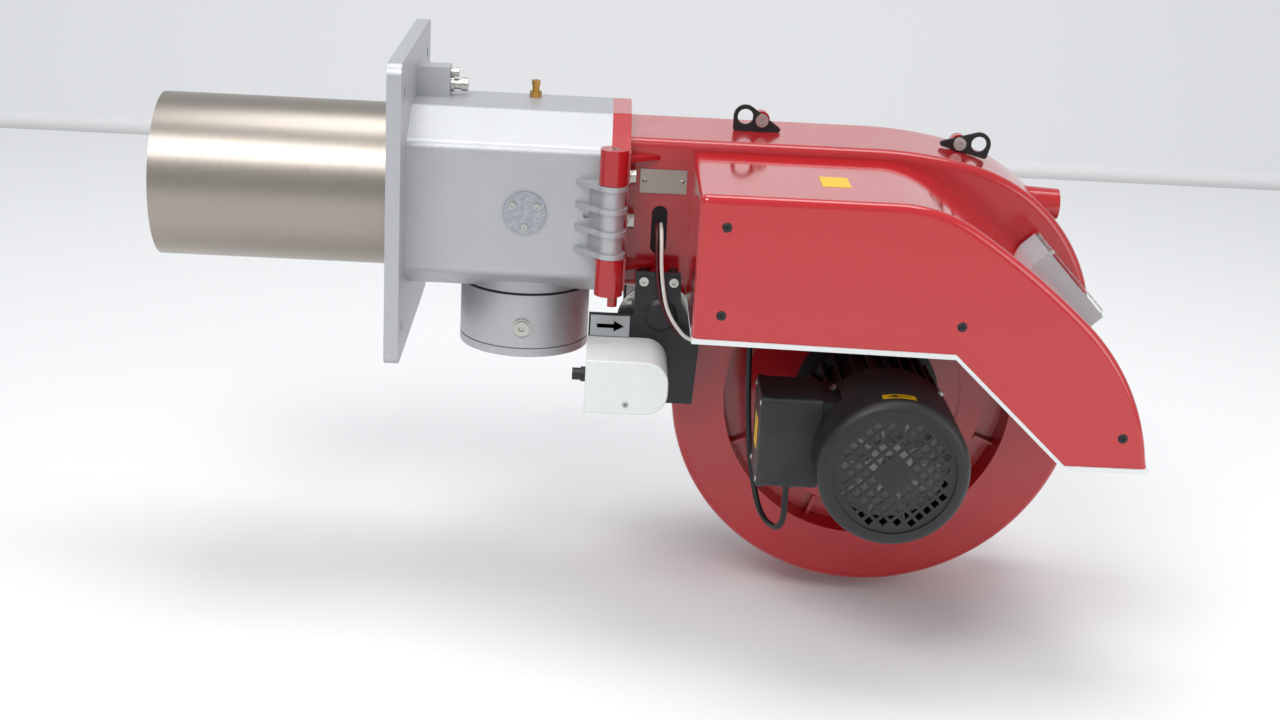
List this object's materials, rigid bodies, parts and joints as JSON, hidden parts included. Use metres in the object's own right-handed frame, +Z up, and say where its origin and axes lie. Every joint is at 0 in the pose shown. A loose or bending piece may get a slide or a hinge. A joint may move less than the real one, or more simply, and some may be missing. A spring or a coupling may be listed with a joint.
{
  "type": "industrial gas burner",
  "caption": "Gas burner with blast tube, square flange, hinged red fan body, black fan motor, damper servo and control hood.",
  "frame": {"origin": "centre of the flange's bolt pattern on the face that meets the boiler, on the blast tube's axis", "axes": "-X along the blast tube into the boiler, +X back along the burner, -Y towards the motor side, +Z up"},
  "size_m": [1.05, 0.476, 0.583],
  "materials": {
    "black_rubber": "black rubber",
    "black_steel": "satin black",
    "brass": "turned",
    "cast_alu": "cast and painted silver",
    "ceramic": "glazed ceramic",
    "clear": "clear",
    "dark_plastic": "satin black",
    "fibre": "graphite fibre sheet",
    "galvanised": "galvanised",
    "grey_plastic": "satin grey",
    "hood_red": "glossy red",
    "motor_black": "matt black",
    "red_paint": "glossy red enamel",
    "red_wire": "dark red sleeve",
    "steel_tube": "brushed stainless",
    "white_plastic": "satin white",
    "white_wire": "white sleeve",
    "zinc": "zinc plated"
  },
  "bodies": {
    "head": {"blast_tube": "steel_tube", "mounting_flange": "cast_alu", "chamber_pressure_tap": "zinc", "head_housing": "cast_alu", "gas_pressure_nipple": "brass", "side_cover": "galvanised", "side_cover_screws": "zinc", "gas_inlet_collar": "cast_alu", "gas_collar_plug": "zinc", "gas_collar_gasket": "fibre", "hinge_pin": "zinc", "gas_pipe": "cast_alu", "gas_nozzle_ring": "steel_tube", "flame_disc": "steel_tube", "ignition_electrode": "ceramic", "ionisation_probe": "ceramic"},
    "fan_unit": {"fan_body": "red_paint", "lifting_eyes": "black_steel", "sight_glass": "clear", "motor_plate": "red_paint", "air_intake": "cast_alu", "intake_grille": "black_steel", "servo_bracket": "black_steel", "index_plate": "grey_plastic", "servo_housing": "white_plastic", "servo_gland": "dark_plastic", "motor_frame": "motor_black", "terminal_box": "motor_black", "terminal_box_lid": "motor_black", "box_gland": "dark_plastic", "fan_cover": "motor_black", "fan_grille": "motor_black", "cover_screws": "zinc", "hood": "hood_red", "hood_edging": "white_plastic", "panel": "grey_plastic", "flap_pin": "zinc", "mounting_panel": "galvanised", "ignition_transformer": "dark_plastic", "lead_sockets": "dark_plastic", "control_box": "grey_plastic", "air_pressure_switch": "grey_plastic", "red_lead": "red_wire", "white_lead": "white_wire", "motor_cable": "black_rubber", "lead_grommet": "black_rubber", "rating_plate": "steel_tube", "plate_bolts": "zinc", "body_screws": "zinc"},
    "rotor": {"fan_wheel": "galvanised", "motor_shaft": "zinc", "cooling_fan": "white_plastic"},
    "damper": {"damper_shaft": "zinc", "damper_blade": "galvanised", "blade_screws": "zinc"},
    "crank": {"servo_crank": "zinc"},
    "link": {"link_rod": "zinc"},
    "flap": {"panel_flap": "clear"},
    "start_push": {"start_button": "dark_plastic"},
    "reset_push": {"reset_button": "dark_plastic"}
  },
  "joints": [
    {"name": "body_hinge", "type": "hinge", "parent": "head", "child": "fan_unit", "pos_m": [0.233, -0.123, 0], "axis": [0, 0, -1], "range_deg": [0, 90]},
    {"name": "rotor_spin", "type": "hinge", "parent": "fan_unit", "child": "rotor", "pos_m": [0.527, 0, -0.203], "axis": [0, 1, 0], "continuous": true},
    {"name": "damper_turn", "type": "hinge", "parent": "fan_unit", "child": "damper", "pos_m": [0.287, 0, -0.119], "axis": [0, 1, 0], "range_deg": [0, 90]},
    {"name": "servo_turn", "type": "hinge", "parent": "fan_unit", "child": "crank", "pos_m": [0.287, 0, -0.164], "axis": [0, 1, 0], "range_deg": [0, 90]},
    {"name": "link_pivot", "type": "hinge", "parent": "crank", "child": "link", "pos_m": [0.27639, -0.0985, -0.17461], "axis": [0, 1, 0], "range_deg": [-90, 0]},
    {"name": "flap_hinge", "type": "hinge", "parent": "fan_unit", "child": "flap", "pos_m": [0.69358, -0.114, -0.00382], "axis": [0, -1, 0], "range_deg": [0, 100]},
    {"name": "start_press", "type": "slide", "parent": "fan_unit", "child": "start_push", "axis": [-0.7193, 0, -0.6947], "range_m": [0, 0.003], "stiffness_N_per_m": 400, "springref_m": -0.002},
    {"name": "reset_press", "type": "slide", "parent": "fan_unit", "child": "reset_push", "axis": [-0.7193, 0, -0.6947], "range_m": [0, 0.003], "stiffness_N_per_m": 400, "springref_m": -0.002}
  ],
  "couplings": [
    {"joint": "damper_turn", "follows": "servo_turn", "ratio": 1},
    {"joint": "link_pivot", "follows": "servo_turn", "ratio": -1}
  ]
}
